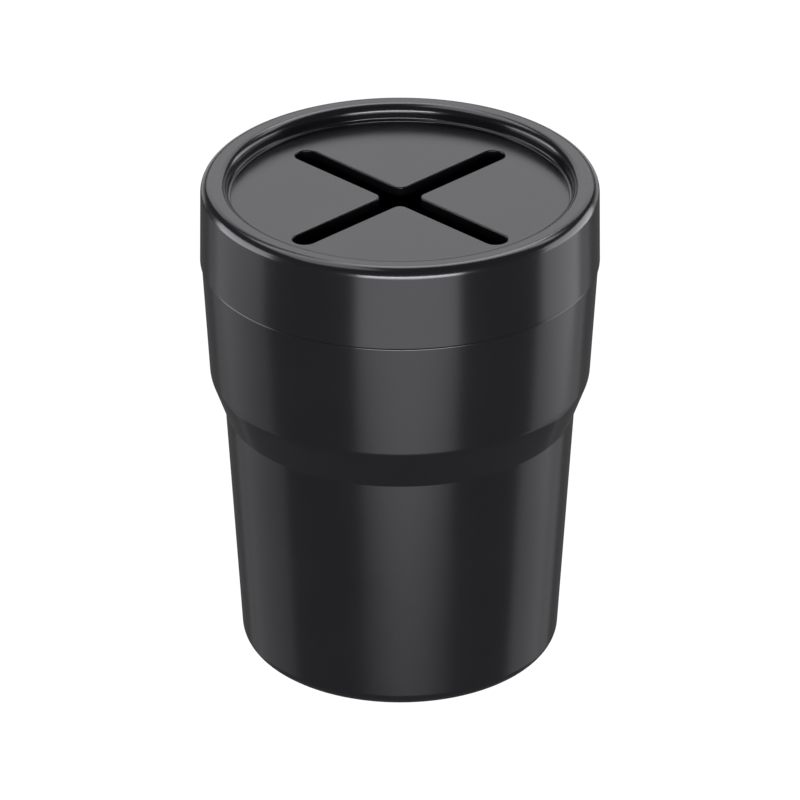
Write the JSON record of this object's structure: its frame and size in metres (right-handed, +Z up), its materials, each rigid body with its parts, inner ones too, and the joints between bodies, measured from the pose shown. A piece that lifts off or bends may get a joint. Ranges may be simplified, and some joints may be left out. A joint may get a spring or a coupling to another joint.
{
  "type": "car trash bin",
  "caption": "Stepped round bin that stands in a vehicle's cup holder, with a lift-off ring lid and a soft disc with a cross slot.",
  "frame": {"origin": "centre of the ring-shaped face that the bin stands on", "axes": "+Z up along the bin's axis; the arms of the cross slot lie along X and Y, and the picture looks from between +X and -Y"},
  "size_m": [0.0806, 0.0806, 0.1037],
  "materials": {
    "cup_plastic": "satin black moulded polypropylene",
    "lid_plastic": "satin black moulded polypropylene",
    "soft_disc": "matte black soft elastomer"
  },
  "bodies": {
    "cup_body": {"cup": "cup_plastic"},
    "lid_body": {"lid_ring": "lid_plastic", "slotted_disc": "soft_disc"}
  },
  "joints": [
    {"name": "lid_lift", "type": "slide", "parent": "cup_body", "child": "lid_body", "axis": [0, 0, 1], "range_m": [0, 0.045]}
  ]
}
